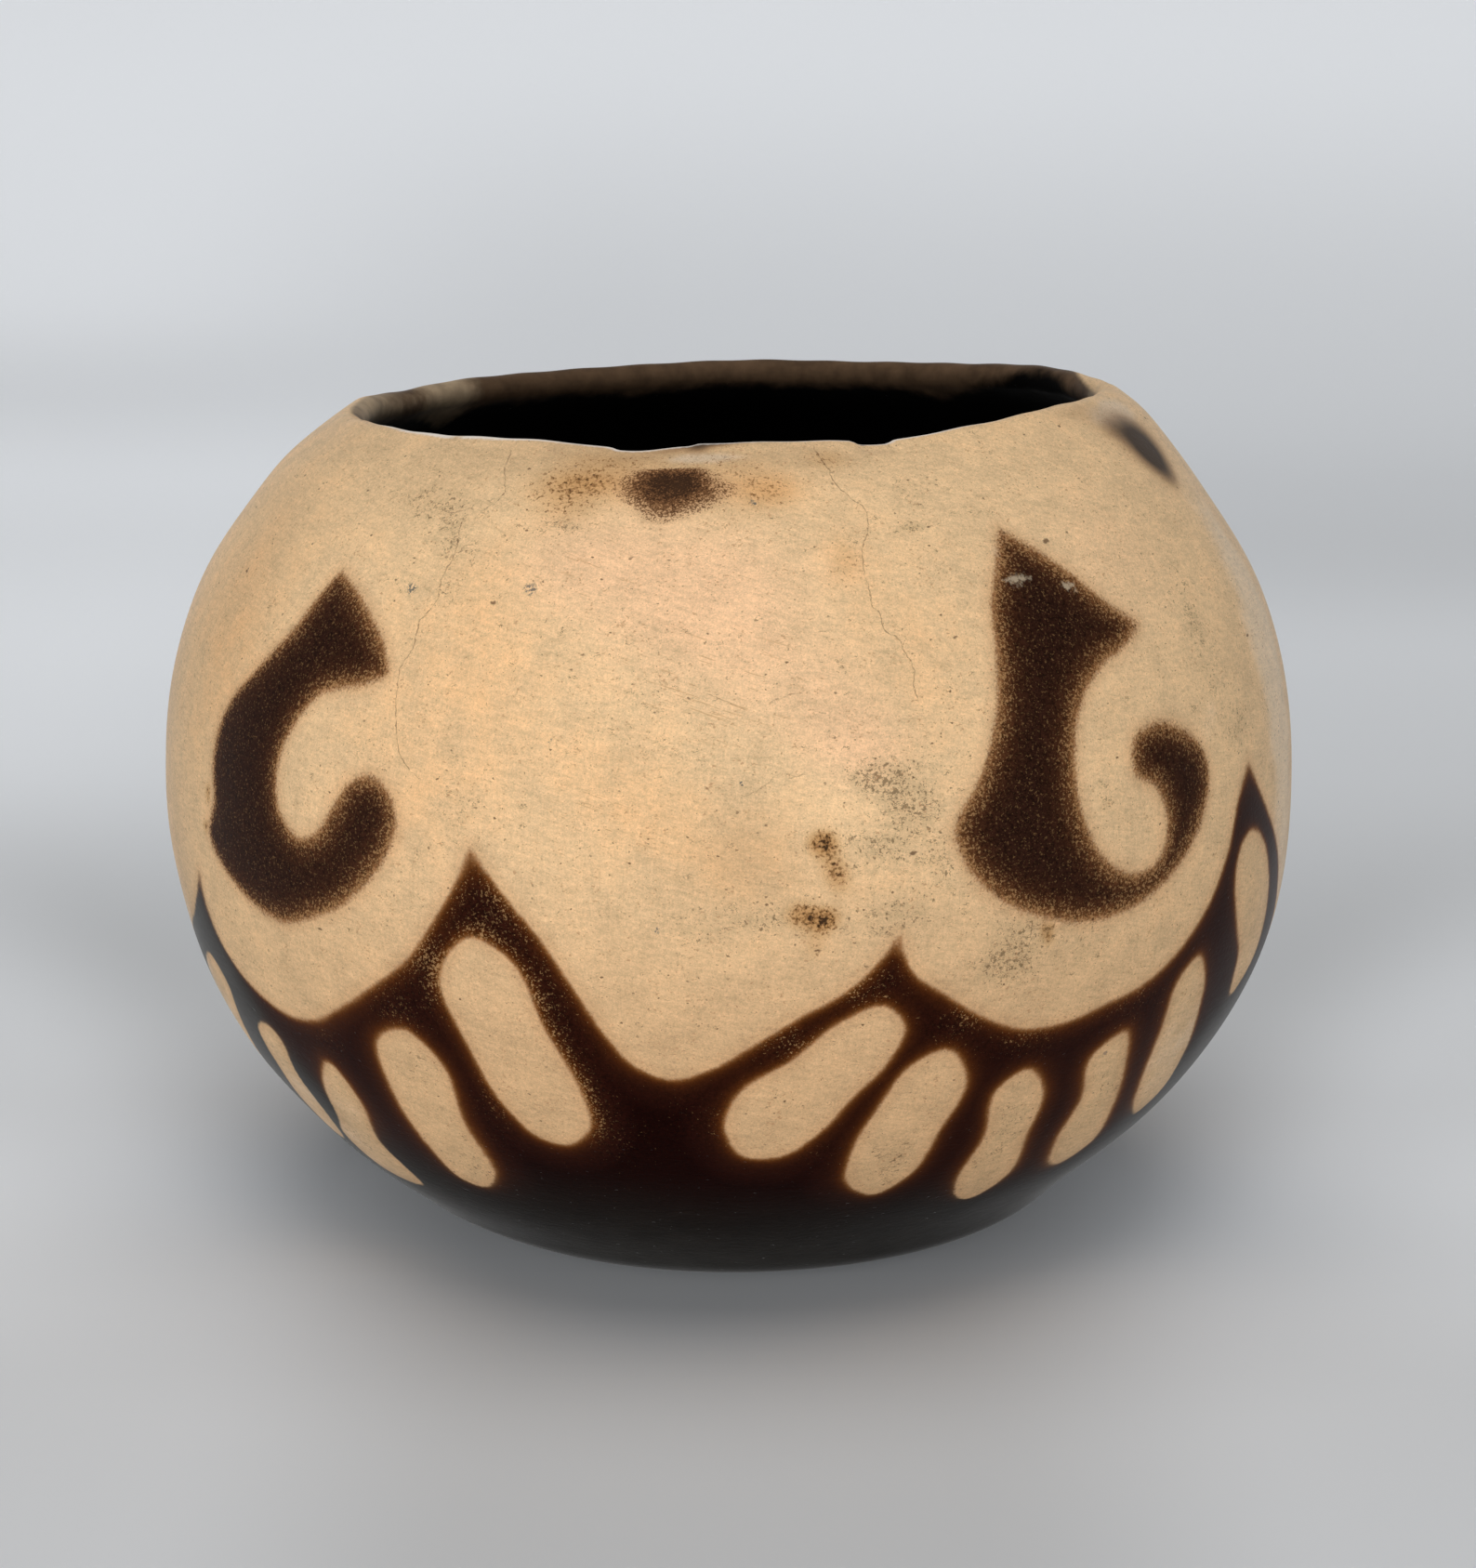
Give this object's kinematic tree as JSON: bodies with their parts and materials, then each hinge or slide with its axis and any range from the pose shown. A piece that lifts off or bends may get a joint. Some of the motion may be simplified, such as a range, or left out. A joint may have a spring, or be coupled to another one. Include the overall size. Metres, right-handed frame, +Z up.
{
  "type": "painted bowl",
  "caption": "Hand-built round clay bowl with a full belly, inward-curving shoulder, wide mouth with a thin rounded lip and a small flat foot, painted with dark scrolls on cream slip.",
  "frame": {"origin": "centre of the belly's outline, down on the ground plane that the foot rests on", "axes": "+Z up along the bowl's axis, the pictured front faces -Y, +X is the viewer's right"},
  "size_m": [0.1828, 0.1838, 0.1341],
  "materials": {
    "smoked_clay": "unglazed, smoked nearly black and burnished to a dull satin",
    "cream_slip": "unglazed cream-buff slip, burnished, with dark brown smoke painting"
  },
  "bodies": {
    "root": {"base_pad": "smoked_clay", "wall_coil_1": "smoked_clay", "wall_coil_2": "cream_slip", "wall_coil_3": "cream_slip", "wall_coil_4": "cream_slip", "wall_coil_5": "cream_slip", "wall_coil_6": "cream_slip", "rim_coil": "cream_slip"}
  },
  "joints": []
}
